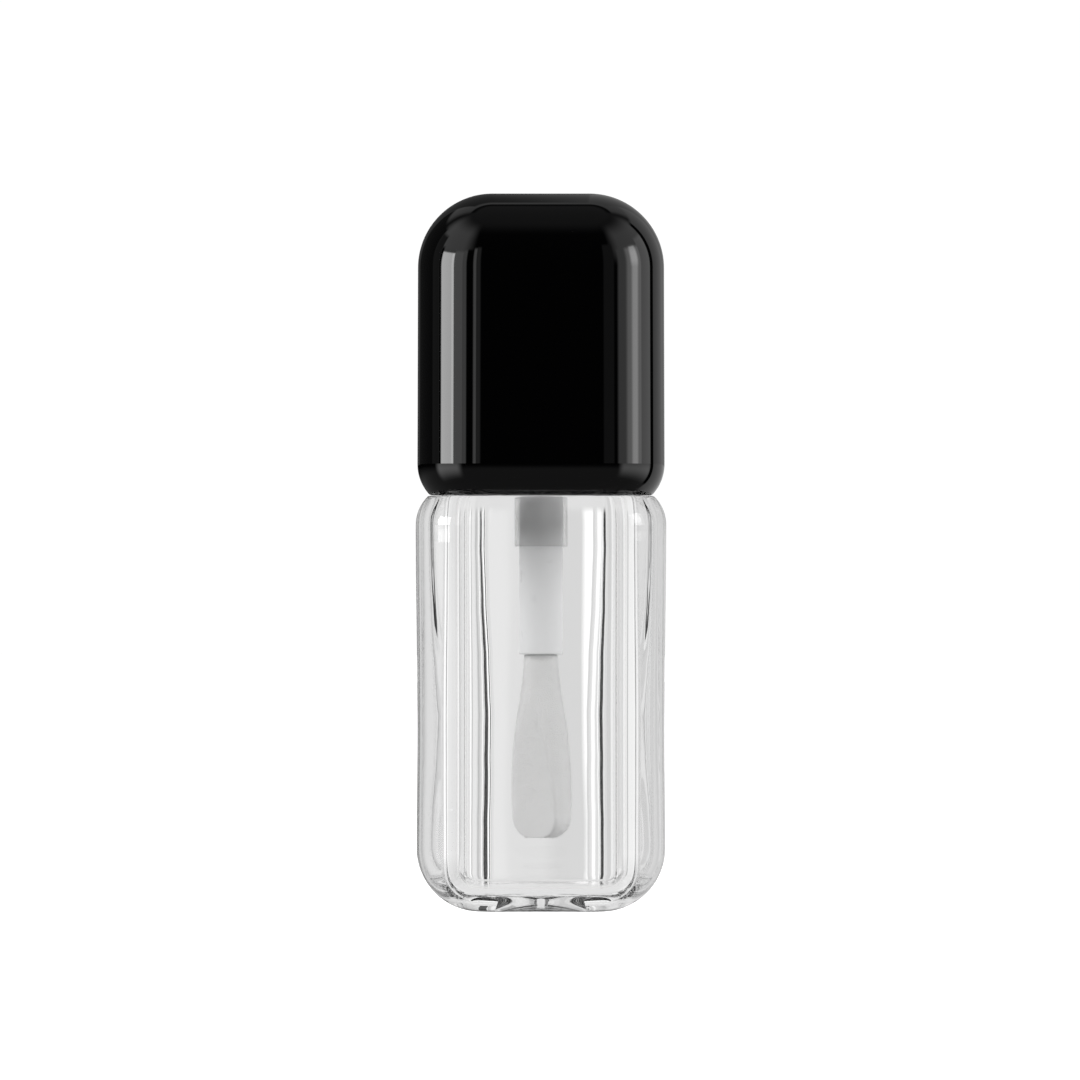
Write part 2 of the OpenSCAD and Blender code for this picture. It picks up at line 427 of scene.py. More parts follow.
def gloss_black():
    """High-gloss black moulding with soft flow waviness, fine wiping haze and a few dust specks."""
    finish = Finish("gloss_black_moulding", {"IOR": 1.5})
    specks = finish.spread(finish.cells(7), 1.0, 0.0, 0.004, 0.012)
    finish.feed("Base Color", finish.mixed(specks, (0.001, 0.001, 0.0011), (0.5, 0.5, 0.48)))
    haze = finish.clouds(3, 5.0, finish.stretched(1, 1, 0.5))
    finish.feed("Roughness", finish.spread(haze, 0.018, 0.05))
    finish.relief((finish.clouds(8, 1.0), 0.004), (finish.clouds(0.7, 2.0), 0.0001))
    return finish.material


def satin_black():
    """Black polypropylene of the hidden insert, with the fine spark texture of its mould."""
    finish = Finish("satin_black_polypropylene", {"IOR": 1.49})
    dark = (0.014, 0.014, 0.015)
    pale = (0.026, 0.026, 0.028)
    finish.feed("Base Color", finish.mixed(finish.clouds(4), dark, pale))
    finish.feed("Roughness", finish.spread(finish.clouds(1.5), 0.3, 0.46))
    finish.relief((finish.clouds(0.15, 4.0), 0.006))
    return finish.material


def soft_translucent():
    """Natural low-density polyethylene of the wiper: clear in thin walls, with a waxy haze."""
    finish = Finish("natural_polyethylene", {"Transmission Weight": 0.85, "IOR": 1.5})
    dark = (0.95, 0.952, 0.955)
    pale = (0.985, 0.985, 0.985)
    finish.feed("Base Color", finish.mixed(finish.clouds(3), dark, pale))
    finish.feed("Roughness", finish.spread(finish.clouds(2), 0.06, 0.16))
    finish.relief((finish.clouds(0.6), 0.002))
    return finish.material


def seal_foam():
    """Closed-cell sealing foam with a pressed skin."""
    finish = Finish("seal_foam", {"IOR": 1.4})
    dark = (0.78, 0.78, 0.75)
    pale = (0.88, 0.88, 0.86)
    finish.feed("Base Color", finish.mixed(finish.clouds(1.2), dark, pale))
    finish.feed("Roughness", finish.spread(finish.clouds(0.8), 0.62, 0.85))
    finish.relief((finish.cells(0.22), 0.03))
    return finish.material


def rod_plastic():
    """Natural polypropylene stem: milky, satin, with faint lines along its draw."""
    finish = Finish("natural_polypropylene", {
        "IOR": 1.49, "Subsurface Weight": 0.2, "Subsurface Scale": 0.0006,
        "Subsurface Radius": (1, 1, 1)})
    dark = (0.90, 0.905, 0.91)
    pale = (0.94, 0.945, 0.95)
    finish.feed("Base Color", finish.mixed(finish.clouds(4), dark, pale))
    finish.feed("Roughness", finish.spread(finish.clouds(1.5, 4.0), 0.25, 0.4))
    finish.relief((finish.clouds(0.8, 2.0, finish.stretched(1, 1, 0.05)), 0.002))
    return finish.material


def soft_elastomer():
    """Matt elastomer of the applicator's core."""
    finish = Finish("soft_elastomer", {
        "IOR": 1.43, "Subsurface Weight": 0.2, "Subsurface Scale": 0.001,
        "Subsurface Radius": (1, 1, 1)})
    dark = (0.80, 0.80, 0.78)
    pale = (0.87, 0.87, 0.85)
    finish.feed("Base Color", finish.mixed(finish.clouds(2), dark, pale))
    finish.feed("Roughness", finish.spread(finish.clouds(1), 0.5, 0.65))
    finish.relief((finish.clouds(0.3), 0.01))
    return finish.material


def flock():
    """White nylon flock: fine fibre tips, uneven pile and a soft sheen."""
    finish = Finish("white_flock", {
        "IOR": 1.45, "Sheen Weight": 0.6, "Sheen Roughness": 0.5,
        "Subsurface Weight": 0.25, "Subsurface Scale": 0.0005, "Subsurface Radius": (1, 1, 1)})
    tone = finish.clouds(1.6, 6.0)
    finish.feed("Base Color", finish.mixed(tone, (0.90, 0.90, 0.895), (0.97, 0.97, 0.965)))
    finish.feed("Roughness", finish.spread(finish.clouds(0.4), 0.8, 0.95))
    finish.relief((finish.cells(0.09), 0.05), (finish.clouds(1.0), 0.05))
    return finish.material


# ---------------------------------------------------------------- bottle body

def wall_sink(z):
    """How far the bottle's wall has sunk at a height: moulded thick walls pull in as they cool."""
    t = (z - FOOT_R) / (SHOULDER_Z - SHOULDER_RISE - FOOT_R)
    return SINK * math.sin(math.pi * min(1.0, max(0.0, t)) ** 0.8) ** 2


def drafted_half(z):
    """Half width of the bottle at a height before sinking: it narrows a little towards its foot."""
    return BOTTLE_HALF - BOTTLE_DRAFT * (1 - min(1.0, z / (SHOULDER_Z - SHOULDER_RISE)))


def corner_spread(z):
    """How much tighter the upright corners are at a height, inside and out, than at mid-height."""
    off = (z - CORNER_MID_Z) / CORNER_EASE
    t = min(1.0, abs(off))
    ripple = 0.02 * math.sin(z * 0.9) + 0.01 * math.sin(z * 2.1 + 1)
    return (CORNER_SPREAD_UP if off > 0 else CORNER_SPREAD_DOWN) * t * t * (3 - 2 * t) + ripple


def outer_corner(z):
    """Radius of the bottle's upright corners at a height."""
    return BOTTLE_CORNER_R - corner_spread(z)


def chamber_corner(z):
    """Radius of the chamber's corners, which start just further out than the bottle's."""
    return CHAMBER_HALF - (BOTTLE_HALF - BOTTLE_CORNER_R) - CORNER_GAP - corner_spread(z)


def hollow_z(r):
    """Height of the domed hollow under the foot at a radius."""
    dome_r = (RECESS_R ** 2 + RECESS_DEPTH ** 2) / (2 * RECESS_DEPTH)
    return RECESS_DEPTH - dome_r + math.sqrt(dome_r ** 2 - r ** 2)


def bottle_rings():
    """Rings from the middle of the base, up the outside, over the mouth and down to the floor."""
    dome = [(r, hollow_z(r)) for r in steps(GATE_R + 0.25, RECESS_R - 0.1, 16)]
    base = softened([(0, GATE_Z), (GATE_R, GATE_Z, 0.1), (GATE_R + 0.05, hollow_z(GATE_R), 0.15),
                     dome[0]])
    base = base[:-1] + dome[:-1] + softened([dome[-1], (RECESS_R, 0, 0.1), (RECESS_R + 0.8, 0)])
    rings = [round_ring(r, z) for r, z in base]

    for a in steps(0, HALF_PI, 28):
        inset = FOOT_R * (1 - math.sin(a))
        z = FOOT_R * (1 - math.cos(a))
        rings.append(squared_ring(drafted_half(z) - inset, outer_corner(z) - inset, z))
    wall_top = SHOULDER_Z - SHOULDER_RISE
    for z in [FOOT_R + GUARD] + steps(FOOT_R, wall_top, 40)[1:-1] + [wall_top - GUARD]:
        sink = wall_sink(z)
        rings.append(squared_ring(drafted_half(z) - sink, outer_corner(z) - sink, z))
    edge = math.asin(SHOULDER_RISE / SHOULDER_R)
    for a in steps(0, edge * 0.97, 14):
        inset = SHOULDER_R * (1 - math.cos(a))
        z = wall_top + SHOULDER_R * math.sin(a)
        rings.append(squared_ring(BOTTLE_HALF - inset, outer_corner(z) - inset, z))
    inset = SHOULDER_R * (1 - math.cos(edge)) + 0.06
    for more in (0, 0.08, 0.2):
        corner = outer_corner(SHOULDER_Z) - inset - more
        rings.append(squared_ring(BOTTLE_HALF - inset - more, corner, SHOULDER_Z))

    step_top = SHOULDER_Z + STEP_H
    neck = softened([(STEP_R + 0.9, SHOULDER_Z), (STEP_R, SHOULDER_Z, 0.2), (STEP_R, step_top, 0.3),
                     (NECK_R, step_top, 0.4), (NECK_R, NECK_TOP, 0.25),
                     (BORE_R, NECK_TOP, 0.15), (BORE_R, CEILING_Z, 0.35), (BORE_R + 1, CEILING_Z)])
    for r, z in divided(neck, 0.14):
        on_wall = abs(r - NECK_R) < 0.001
        rings.append(round_ring(threaded_neck if on_wall else r, z))

    for a in steps(0, HALF_PI, 10):
        inset = CHAMBER_TOP_R * (1 - math.sin(a))
        z = CEILING_Z - CHAMBER_TOP_R * (1 - math.cos(a))
        rings.append(squared_ring(CHAMBER_HALF - inset, chamber_corner(z) - inset, z))
    side_foot = FLOOR_Z + CHAMBER_FLOOR_R
    for z in steps(CEILING_Z - CHAMBER_TOP_R - 0.1, side_foot + 0.6, 64) + [side_foot + GUARD]:
        rings.append(squared_ring(CHAMBER_HALF, chamber_corner(z), z))
    for a in steps(0, HALF_PI, 16):
        inset = CHAMBER_FLOOR_R * (1 - math.cos(a))
        z = side_foot - CHAMBER_FLOOR_R * math.sin(a)
        corner = chamber_corner(side_foot) - inset
        rings.append(squared_ring(CHAMBER_HALF - inset, corner, z))
    for r, rise in ((5.2, 0), (2.5, 0.03), (0, 0.05)):
        rings.append(round_ring(r, FLOOR_Z + rise))
    return rings


def threaded_neck(angle, z):
    return NECK_R + thread_rise(angle, z, THREAD_Z)


def threaded_insert(angle, z):
    rise = thread_rise(angle, z, THREAD_Z - THREAD_LEAD / 2)
    return INSERT_R - rise * (INSERT_R - INSERT_CREST_R) / THREAD_DEPTH


def make_bottle():
    part = skin(bottle_rings())
    bottle = make("clear_bottle", part, "bottle", clear_plastic(), "bottle")
    bottle.visible_shadow = False
    return bottle


def make_wiper():
    """Plug, flange and tapered sleeve of the wiper, a closed turned shell."""
    gap = 0.04
    sleeve_r = STEM_R + RUN
    lip_r = sleeve_r + WIPER_LIP
    plug_end = NECK_TOP - WIPER_PLUG_L
    taper_end = plug_end - WIPER_TAPER_L
    outline = softened([
        (sleeve_r + 0.2, wiper_low.z), (lip_r, wiper_low.z, 0.12),
        (lip_r, taper_end, 1.0), (BORE_R - 0.25, plug_end - 0.6, 0.3),
        (BORE_R - gap, plug_end, 0.3), (BORE_R - gap, NECK_TOP + 0.02, 0.08),
        (wiper_high.x, NECK_TOP + 0.02, 0.12), (wiper_high.x, wiper_high.z, 0.2),
        (BORE_R - WIPER_WALL + 0.2, wiper_high.z, 0.15),
        (BORE_R - WIPER_WALL, wiper_high.z - 0.4, 0.15),
        (BORE_R - WIPER_WALL, plug_end - 0.4, 0.5), (sleeve_r, taper_end - 0.3, 1.0),
        (sleeve_r, wiper_low.z, 0.12), (sleeve_r + 0.2, wiper_low.z)])
    part = lathe(divided(outline[:-1], 1.2), loop=True)
    wiper = make("wiper_plug", part, "bottle", soft_translucent(), "wiper")
    wiper.visible_shadow = False
    return wiper


# ---------------------------------------------------------------- cap body

def cap_half(z):
    """Half width of the overcap at a height: a slight draft from the mouth to the top."""
    return CAP_HALF - CAP_TAPER * (z - cap_low.z) / (cap_high.z - cap_low.z)


def cap_rings():
    """Rings from the top's middle, down the outside, round the mouth and up to the ceiling."""
    top = cap_high.z
    fillet_z = top - CAP_TOP_R
    rings = [round_ring(0, top), squared_ring(2.2, 0.05, top)]
    for a in steps(HALF_PI, 0, 40):
        inset = CAP_TOP_R * (1 - math.cos(a))
        z = fillet_z + CAP_TOP_R * math.sin(a)
        rings.append(squared_ring(cap_half(z) - inset, CORNER_R - inset, z))
    wall_foot = cap_low.z + MOUTH_RISE
    for z in [fillet_z - GUARD] + steps(fillet_z, wall_foot, 16)[1:-1] + [wall_foot + GUARD]:
        rings.append(squared_ring(cap_half(z), CORNER_R, z))
    edge = math.asin(MOUTH_RISE / MOUTH_R)
    for a in steps(0, edge * 0.97, 16):
        inset = MOUTH_R * (1 - math.cos(a))
        z = wall_foot - MOUTH_R * math.sin(a)
        rings.append(squared_ring(cap_half(z) - inset, CORNER_R - inset, z))
    inset = MOUTH_R * (1 - math.cos(edge)) + 0.05
    cavity = CAP_HALF - CAP_WALL
    rim_corner = CORNER_R - inset
    for more in (0, 0.06, 0.12):
        rings.append(squared_ring(CAP_HALF - inset - more, rim_corner - more, cap_low.z))
    for out, rise in ((0.16, 0), (0.1, 0.02), (0.03, 0.08), (0, 0.16), (0, 0.22)):
        rings.append(squared_ring(cavity + out, CAVITY_CORNER_R + out, cap_low.z + rise))
    inner_r = CAVITY_CORNER_R - 0.1
    ceiling = top - CAP_WALL
    for z in steps(cap_low.z + 1, ceiling - inner_r, 6)[:-1]:
        rings.append(squared_ring(cavity, CAVITY_CORNER_R, z))
    for a in steps(0, HALF_PI, 16):
        inset = inner_r * (1 - math.cos(a))
        z = ceiling - inner_r + inner_r * math.sin(a)
        rings.append(squared_ring(cavity - inset, CAVITY_CORNER_R - inset, z))
    rings.append(round_ring(0, ceiling))
    return rings


def make_cap_shell():
    part = skin(cap_rings())
    return make("cap_shell_gloss", part, "cap", gloss_black(), "cap_shell")


def make_cap_fins():
    """Crossed fins inside the overcap's top, which bear on the insert's deck."""
    deck_top = DECK_Z + DECK_T
    clearance = SOCKET_R + 0.1
    clear_top = deck_top + 9.5
    fillet_centre = (CAP_HALF - CORNER_R, cap_high.z - CORNER_R)
    buried = CORNER_R - CAP_WALL + 0.6
    outline = [(clearance, deck_top), (fillet_centre[0] + buried, deck_top)]
    outline += [(fillet_centre[0] + buried * math.cos(a), fillet_centre[1] + buried * math.sin(a))
                for a in steps(0, HALF_PI, 10)]
    outline += [(0, fillet_centre[1] + buried), (0, clear_top), (clearance, clear_top)]
    fin = slab(outline, RIB_T)
    fins = joined(*(turned(fin, turn * HALF_PI) for turn in range(4)))
    return make("cap_fins", fins, "cap", bpy.data.materials["gloss_black_moulding"])


def make_inner_cap():
    """Threaded insert: turned body with its thread, square flange, ribs and the wand's socket."""
    outer_r = INSERT_R + INSERT_WALL
    deck_top = DECK_Z + DECK_T
    groove_r = PLUG_R + 0.4
    groove_top = BARB_Z + 1.55
    groove_foot = BARB_Z - RUN
    body = softened([
        (INSERT_R + 0.4, insert_low.z), (outer_r, insert_low.z, 0.1), (outer_r, deck_top, 0.2),
        (SOCKET_R, deck_top, 0.25), (SOCKET_R, insert_high.z, 0.2), (PLUG_R, insert_high.z, 0.15),
        (PLUG_R, groove_top, 0.02), (groove_r, groove_top, 0.02),
        (groove_r, groove_foot, 0.02), (PLUG_R, groove_foot, 0.02), (PLUG_R, DECK_Z, 0.1),
        (INSERT_R, DECK_Z, 0.2), (INSERT_R, insert_low.z, 0.25), (INSERT_R + 0.4, insert_low.z)])
    rings = []
    for r, z in divided(body[:-1], 0.18):
        on_thread = abs(r - INSERT_R) < 0.001 and z < DECK_Z - 0.5
        rings.append(round_ring(threaded_insert if on_thread else r, z))
    tube = skin(rings, loop=True)

    half = insert_high.x
    low = insert_low.z + 0.01
    high = low + FLANGE_T
    flange = skin([
        round_ring(outer_r - 0.5, low),
        squared_ring(half - 0.25, CAVITY_CORNER_R - 0.25, low),
        squared_ring(half - 0.15, CAVITY_CORNER_R - 0.15, low),
        squared_ring(half - 0.02, CAVITY_CORNER_R, low + 0.12),
        squared_ring(half - 0.02, CAVITY_CORNER_R, high - 0.12),
        squared_ring(half - 0.15, CAVITY_CORNER_R - 0.15, high),
        round_ring(outer_r - 0.5, high),
    ], loop=True)
    rib_top = DECK_Z + DECK_T - 0.5
    rib = slab([(outer_r - 0.4, low + 0.5), (half - 0.05, low + 0.5), (half - 0.05, rib_top),
                (outer_r - 0.4, rib_top)], RIB_T)
    ribs = [turned(rib, turn * HALF_PI) for turn in range(4)]
    part = joined(tube, flange, *ribs)
    return make("threaded_insert", part, "cap", satin_black(), "inner_cap")


def make_liner():
    """Seal ring with rounded edges and the shallow groove that the wiper's flange pressed in."""
    inner_r = COLLAR_R + 0.2
    outer_r = liner_high.x
    low = liner_low.z
    high = liner_high.z
    outline = softened([
        (inner_r + 0.3, low), (inner_r + 0.6, low), (inner_r + 0.8, low + 0.08),
        (outer_r - 0.5, low + 0.08), (outer_r - 0.35, low), (outer_r, low, 0.2),
        (outer_r, high, 0.2), (inner_r, high, 0.2),
        (inner_r, low, 0.2), (inner_r + 0.3, low)], 0.06)
    part = lathe(divided(outline[:-1], 0.6), loop=True)
    return make("seal_ring", part, "liner", seal_foam(), "cap_liner")


def make_rod():
    """Stem, collar and barbed plug of the wand, with the hole for the applicator's peg."""
    hole_end = STEM_Z + 6.2
    collar_foot = DECK_Z - COLLAR_T
    outline = softened([
        (0, hole_end), (PEG_R, hole_end, 0.2), (PEG_R, STEM_Z, 0.1), (STEM_R, STEM_Z, 0.18),
        (STEM_R, collar_foot, 0.25), (COLLAR_R, collar_foot, 0.15), (COLLAR_R, DECK_Z, 0.1),
        (PLUG_R - 0.02, DECK_Z, 0.1), (PLUG_R - 0.02, BARB_Z, 0.1),
        (PLUG_R + BARB_RISE, BARB_Z, 0.08), (PLUG_R - 0.04, BARB_Z + BARB_L, 0.2),
        (PLUG_R - 0.04, rod_high.z, 0.4), (0, rod_high.z)])
    part = lathe(divided(outline, 1.0))
    return make("wand_stem", part, "cap", rod_plastic(), "wand_rod")


# ---------------------------------------------------------------- applicator

HEAD_ANGLES = steps(0, FULL_TURN, 120)[:-1]


def head_radius(z):
    """Radius of the round teardrop at a height, before its flat face is cut."""
    if z < TIP_Z + END_R:
        drop = max(0.0, END_R ** 2 - (TIP_Z + END_R - z) ** 2)
        return BELLY_R - END_R + math.sqrt(drop)
    side = BELLY_R - SIDE_R + math.sqrt(SIDE_R ** 2 - (z - BELLY_Z) ** 2)
    soft = 0.25
    gap = (side - HEAD_NECK_R) / soft
    return HEAD_NECK_R + soft * math.log1p(math.exp(gap))


def faced_radius(angle, z, inset, ease=0.16):
    """Radius of the head at an angle and a height, with the flat face blended in."""
    r = head_radius(z) - inset
    facing = math.cos(angle - FACE_TURN)
    if facing < 0.05:
        return r
    plane = (FACE_OUT + (z - FACE_Z) * math.tan(FACE_LEAN) - inset) / facing
    if plane - r > 6 * ease:
        return r
    return r - ease * math.log1p(math.exp((r - plane) / ease))


def head_part(inset, ripple, top):
    """Rings of the head, inset from the flock's outer surface, with a slightly uneven skin."""
    heights = [TIP_Z + END_R * (1 - math.cos(a)) for a in steps(0.06, HALF_PI, 18)]
    heights += steps(TIP_Z + END_R + 0.15, top - 0.3, 90)
    rings = [[(0, 0, TIP_Z + inset)]]
    for z in heights:
        low = max(z, TIP_Z + inset + 0.002)
        ring = []
        for a in HEAD_ANGLES:
            r = max(0.05, faced_radius(a, z, inset))
            lumps = noise.noise(Vector((r * math.cos(a), r * math.sin(a), z)) * 1.7)
            r -= ripple * (0.5 + 0.5 * lumps)
            ring.append((r * math.cos(a), r * math.sin(a), low))
        rings.append(ring)
    neck = HEAD_NECK_R - inset
    for out, z in ((0.0, top - 0.12), (0.06, top - 0.03), (0.18, top), (0.5, top)):
        rings.append(round_ring(neck - out, z, HEAD_ANGLES))
    return rings


def make_core():
    """Elastomer core with the peg that plugs into the stem."""
    rings = head_part(FLOCK_T + 0.02, 0.0, STEM_Z - 0.01)
    peg = softened([(1.2, STEM_Z - 0.01), (0.97, STEM_Z - 0.01, 0.1), (0.97, core_high.z, 0.25),
                    (0, core_high.z)])
    rings += [round_ring(r, z, HEAD_ANGLES) for r, z in peg[1:]]
    return make("applicator_core_soft", skin(rings), "cap", soft_elastomer(),
                "applicator_core")


def make_flock():
    """Flocked skin: a thin closed shell over the core with short fibres standing on it."""
    outer = head_part(FLOCK_PILE, 0.05, STEM_Z - 0.02)
    inner = head_part(FLOCK_T, 0.0, STEM_Z - 0.02)
    shell = skin(outer + list(reversed(inner)))
    return make("applicator_flock_skin", shell, "cap", flock(), "applicator_flock")


def make_fibres():
    """Seeded flock fibres: closed slivers that stand on the skin and lean a little at random."""
    draw = random.Random(11)
    parts = []
    height = STEM_Z - TIP_Z
    while len(parts) < FIBRES:
        z = TIP_Z + 0.05 + (height - 0.5) * draw.random()
        angle = FULL_TURN * draw.random()
        lean = draw.uniform(-0.35, 0.35), draw.uniform(-0.35, 0.35)
        length = draw.uniform(0.55, 1.0)
        if draw.random() > faced_radius(angle, z, 0) / BELLY_R:
            continue
        parts.append(fibre(angle, z, length, lean))
    white_flock = bpy.data.materials["white_flock"]
    return make("applicator_fibres", joined(*parts), "cap", white_flock)


def skin_point(angle, z, inset):
    r = faced_radius(angle, z, inset)
    return Vector((r * math.cos(angle), r * math.sin(angle), z))


def fibre(angle, z, length, lean):
    """One sliver, a closed spike of four faces, inside the flock's thickness."""
    foot = skin_point(angle, z, FLOCK_PILE + 0.1)
    across = (skin_point(angle + 0.01, z, 0.1) - skin_point(angle - 0.01, z, 0.1)).normalized()
    along = (skin_point(angle, z + 0.03, 0.1) - skin_point(angle, z - 0.03, 0.1)).normalized()
    out = across.cross(along)
    if out.dot(foot - Vector((0, 0, BELLY_Z + 2))) < 0:
        out = -out
    reach = FLOCK_PILE + 0.1
    tip = foot + (out + across * lean[0] + along * lean[1]) * reach * length
    tip.z = max(tip.z, TIP_Z + 0.01)
    thick = 0.018
    base = [foot + (across * math.cos(a) + along * math.sin(a)) * thick for a in (0, 2.1, 4.2)]
    verts = [tuple(p) for p in base] + [tuple(tip)]
    return verts, [(0, 2, 1), (0, 1, 3), (1, 2, 3), (2, 0, 3)]


# ---------------------------------------------------------------- studio

STUDIO_R = 1.6

# Each patch of light or shade: name, azimuth from, to and blur, lift from, to and blur, glow.
# Azimuth is in degrees from the camera's side, to the right; lift is the angle above the horizon.
# A later patch is painted over an earlier one.
REFLECTED = (
    ("floor", -200, 200, 1, -95, -8, 15, 0.14),
    ("overhead", -200, 200, 1, 62, 120, 24, 0.11),
    ("behind_above", 125, 235, 20, 20, 66, 5, 0.4),
    ("left_high", -108, -40, 26, 14, 58, 24, 0.85),
    ("right_high", 42, 112, 24, 14, 56, 24, 0.75),
    ("left_low", -94, -52, 12, -20, 3, 30, 1.9),
    ("right_low", 50, 108, 12, -20, 3, 30, 1.5),
    ("right_back_low", 114, 176, 4, -40, 3, 10, 0.6),
    ("left_back", -106, -90.5, 2, -0.4, 36, 0.2, 0.11),
    ("left_dark", -150, -106, 3, -0.4, 40, 0.2, 0.03),
    ("left_rim", -181, -150, 3, -0.4, 60, 0.2, 0.1),
    ("left_line", -90.5, -86, 0.5, -0.4, 24, 0.2, 0.0),
    ("left_fill", -62, -47, 2, -0.4, 22, 0.2, 1.3),
    ("left_fill_edge", -47, -41, 1, -0.4, 24, 0.2, 0.95),
    ("left_strip", -86, -62.5, 1, -0.4, 19, 0.8, 7.8),
    ("left_strip_edge", -66.5, -62.5, 1, -0.4, 19, 0.8, 9.6),
    ("left_gap", -41, -30, 0.7, -0.4, 26, 0.2, 0.0),
    ("left_slit_tail", -25, -19, 3, -0.4, 30, 0.2, 0.28),
    ("left_slit", -30, -25.5, 1.5, -0.4, 28, 0.2, 1.1),
    ("right_front", 22, 38.5, 3, -0.4, 34, 0.2, 0.11),
    ("right_fill", 45, 62, 5, -0.4, 26, 0.2, 0.75),
    ("right_glow", 60, 90, 7, -0.4, 26, 0.2, 2.1),
    ("right_strip", 69.5, 80, 5, -0.4, 27, 0.2, 4.4),
    ("right_strip_top", 68, 81, 6, 5, 24, 12, 6.2),
    ("right_side", 87, 107.5, 1.5, -0.4, 34, 0.2, 1.25),
    ("right_line", 107.5, 115.5, 0.8, -30, 46, 0.2, 0.0),
    ("right_back", 115.5, 152, 1.5, -0.4, 46, 0.2, 0.5),
    ("right_far_back", 152, 179, 4, -0.4, 60, 0.2, 0.35),
    ("overhead_line", 120, 240, 10, 65, 70, 2, 0.02),
)
SEEN = (
    ("overhead", -200, 200, 1, 58, 120, 30, 1.1),
    ("camera_side_left", -60, 0, 8, -40, 55, 20, 0.6),
    ("camera_side_right", 0, 60, 8, -40, 55, 20, 0.74),
    ("right_side", 88, 107, 3, -30, 40, 20, 0.8),
    ("right_glow", 111, 145, 2, -30, 40, 20, 0.88),
    ("right_shade", 145, 160, 6, -30, 40, 20, 0.95),
    ("right_back", 160, 171, 4, -30, 40, 20, 0.68),
    ("centre", 170, 190, 2, -30, 40, 20, 0.8),
    ("left_back", 188, 214, 2, -30, 40, 20, 0.84),
    ("left_glow", 214, 239, 2, -30, 40, 20, 0.78),
    ("left_side", 239, 256, 2, -30, 40, 20, 0.74),
    ("left_shade", 256, 300, 4, -30, 40, 20, 0.68),
    ("right_side_flag", 107, 110.6, 1, -12, 12, 8, 0.45),
    ("right_soft", 171, 173, 1, -12, 12, 8, 0.77),
    ("right_light", 173, 176, 1, -12, 12, 8, 0.86),
    ("left_soft", 182.6, 184.2, 1, -12, 12, 8, 0.7),
    ("left_shade_band", 184.2, 186.4, 1, -12, 12, 8, 0.56),
    ("left_light", 188, 195, 2, -12, 12, 8, 0.88),
    ("left_far_flag", 196.4, 199, 0.5, -12, 12, 8, 0.5),
    ("left_white", 199.5, 206, 0.8, -12, 12, 8, 1.15),
    ("left_edge_white", 180.5, 181.4, 0.1, -12, 12, 8, 1.15),
    ("left_middle", 180.28, 180.5, 0.1, -12, 12, 8, 0.87),
    ("middle", 179.66, 180.28, 0.2, -12, 12, 8, 0.8),
    ("right_middle", 179.55, 179.9, 0.2, -12, 12, 8, 0.72),
    ("right_edge_white", 178.4, 179.6, 0.04, -12, 12, 8, 1.2),
    ("thin_flag", 179.25, 179.47, 0.04, -12, 12, 8, 0.0),
    ("edge_flag", 175.2, 178.8, 0.2, -12, 12, 8, 0.0),
)


def eased(value, start, end, blur):
    """1 between start and end, easing to 0 over the blur at each of them."""
    rise = np.clip((value - start) / blur + 0.5, 0, 1)
    fall = np.clip((end - value) / blur + 0.5, 0, 1)
    return rise * rise * (3 - 2 * rise) * fall * fall * (3 - 2 * fall)


def bare_material(name, colour, glow=0.0):
    """Stage material: a plain surface that may glow a little."""
    material = bpy.data.materials.new(name)
    material.use_nodes = True
    shader = material.node_tree.nodes["Principled BSDF"]
    shader.inputs["Base Color"].default_value = (*colour, 1)
    shader.inputs["Roughness"].default_value = 0.9
    shader.inputs["Specular IOR Level"].default_value = 0.0
    shader.inputs["Emission Color"].default_value = (1, 1, 1, 1)
    shader.inputs["Emission Strength"].default_value = glow
    material.cycles.emission_sampling = "NONE"
    return material


def stage_mesh(name, verts, faces, material, **seen):
    """A stage object, with which rays see it."""
    mesh = bpy.data.meshes.new(name)
    mesh.from_pydata(verts, [], faces)
    mesh.materials.append(material)
    obj = bpy.data.objects.new(name, mesh)
    bpy.context.scene.collection.objects.link(obj)
    for kind in ("camera", "diffuse", "glossy", "transmission", "shadow"):
        setattr(obj, "visible_" + kind, seen.get(kind, False))
    return obj


def studio(name, base, patches, **seen):
    """Round tent whose glow is painted patch by patch, for one kind of ray."""
    middle = Vector((0, 0, 0.05))
    turns = steps(0, 160, 160) + steps(160, 179, 190)[1:] + steps(179, 181, 80)[1:]
    turns += steps(181, 200, 190)[1:] + steps(200, 360, 160)[1:-1]
    lifts = steps(-88, -28, 12) + steps(-28, -4, 12)[1:]
    lifts += steps(-4, 4, 80)[1:] + steps(4, 88, 42)[1:]
    turn = np.array(turns)
    lift = np.array(lifts)
    glow = np.full((len(lifts), len(turns)), float(base))
    for _, start, end, blur, low, high, lift_blur, value in patches:
        across = sum(eased(turn + lap, start, end, blur) for lap in (-360, 0, 360))
        cover = np.clip(np.outer(eased(lift, low, high, lift_blur), across), 0, 1)
        glow = glow * (1 - cover) + value * cover
    rings = []
    for e in np.radians(lift):
        rings.append([tuple(middle + STUDIO_R * Vector((
            math.sin(a) * math.cos(e), -math.cos(a) * math.cos(e), math.sin(e))))
            for a in np.radians(turn)])
    foot = tuple(middle - Vector((0, 0, STUDIO_R)))
    crown = tuple(middle + Vector((0, 0, STUDIO_R)))
    verts, faces = skin([[foot]] + rings + [[crown]])
    material = bare_material(name, (0, 0, 0))
    nodes = material.node_tree.nodes
    attribute = nodes.new("ShaderNodeAttribute")
    attribute.attribute_name = "glow"
    shader = nodes["Principled BSDF"]
    material.node_tree.links.new(attribute.outputs["Fac"], shader.inputs["Emission Strength"])
    tent = stage_mesh(name, verts, faces, material, **seen)
    values = np.concatenate(([glow[0].mean()], glow.ravel(), [glow[-1].mean()]))
    tent.data.attributes.new("glow", "FLOAT", "POINT").data.foreach_set("value", values)
    return tent


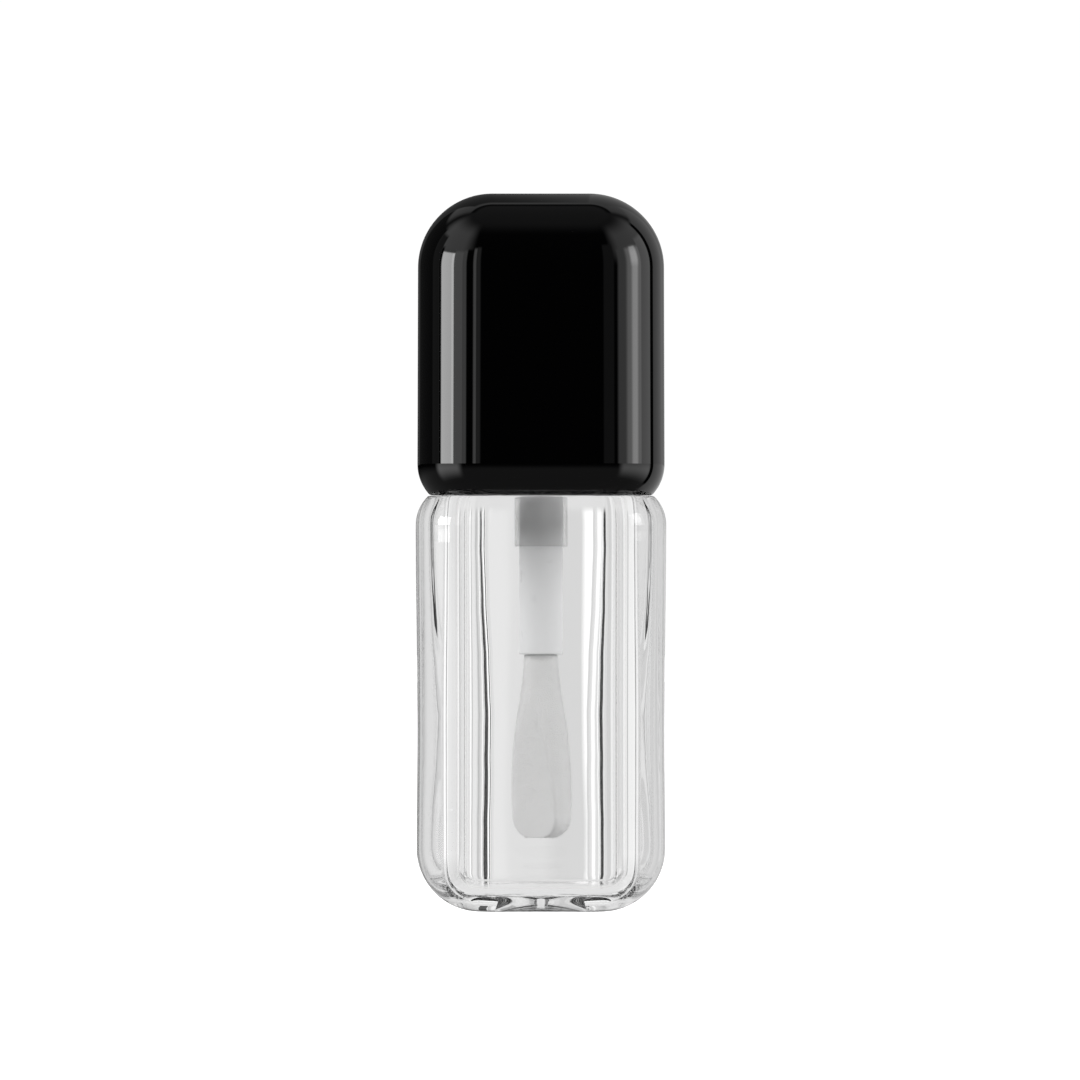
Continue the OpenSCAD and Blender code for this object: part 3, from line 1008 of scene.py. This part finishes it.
def make_stage():
    """Pale floor, and a studio each for reflections, for what shows through glass and for light."""
    size = 2.2
    floor = [(-size, -size, 0), (size, -size, 0), (size, size, 0), (-size, size, 0)]
    stage_mesh("floor", floor, [(0, 1, 2, 3)], bare_material("floor_white", (0.9, 0.9, 0.9), 0.75),
               camera=True)
    studio("studio_reflected", 0.0, REFLECTED, glossy=True)
    studio("studio_seen_through", 0.8, SEEN, transmission=True)
    studio("studio_lighting", 0.3, (), diffuse=True)


def area_light(name, azimuth, elevation, distance, size, power):
    """Soft area light aimed at the tube's middle, kept out of reflections."""
    a = math.radians(azimuth)
    e = math.radians(elevation)
    out = Vector((math.sin(a) * math.cos(e), -math.cos(a) * math.cos(e), math.sin(e)))
    data = bpy.data.lights.new(name, "AREA")
    data.size = size
    data.energy = power
    light = bpy.data.objects.new(name, data)
    light.location = Vector((0, 0, 0.04)) + out * distance
    light.rotation_euler = (-out).to_track_quat("-Z", "Y").to_euler()
    bpy.context.scene.collection.objects.link(light)
    light.visible_camera = False
    light.visible_glossy = False
    light.visible_transmission = False
    return light


def make_lights():
    area_light("key_left", -65, 35, 1.3, 0.8, 10)
    area_light("fill_right", 70, 30, 1.3, 0.9, 8)
    area_light("top_soft", 170, 70, 1.4, 1.0, 6)
    world = bpy.data.worlds.new("studio")
    world.use_nodes = True
    world.node_tree.nodes["Background"].inputs["Color"].default_value = (1, 1, 1, 1)
    world.node_tree.nodes["Background"].inputs["Strength"].default_value = 1.02
    bpy.context.scene.world = world


def make_camera():
    """Long lens level with the middle of the picture, straight in front."""
    frame_width = 0.1084
    distance = 1.0
    data = bpy.data.cameras.new("camera")
    data.sensor_width = 36
    data.lens = 36 * distance / frame_width
    data.clip_end = 20
    camera = bpy.data.objects.new("camera", data)
    camera.location = (-0.0001, -distance, 0.0371)
    camera.rotation_euler = (HALF_PI, 0, 0)
    bpy.context.scene.collection.objects.link(camera)
    bpy.context.scene.camera = camera


def main():
    make_bottle()
    make_wiper()
    make_cap_shell()
    make_cap_fins()
    make_inner_cap()
    make_liner()
    make_rod()
    make_core()
    make_flock()
    make_fibres()
    make_stage()
    make_lights()
    make_camera()
    scene = bpy.context.scene
    scene.view_settings.view_transform = "Standard"
    scene.cycles.max_bounces = 24
    scene.cycles.transmission_bounces = 24
    scene.cycles.glossy_bounces = 12


main()
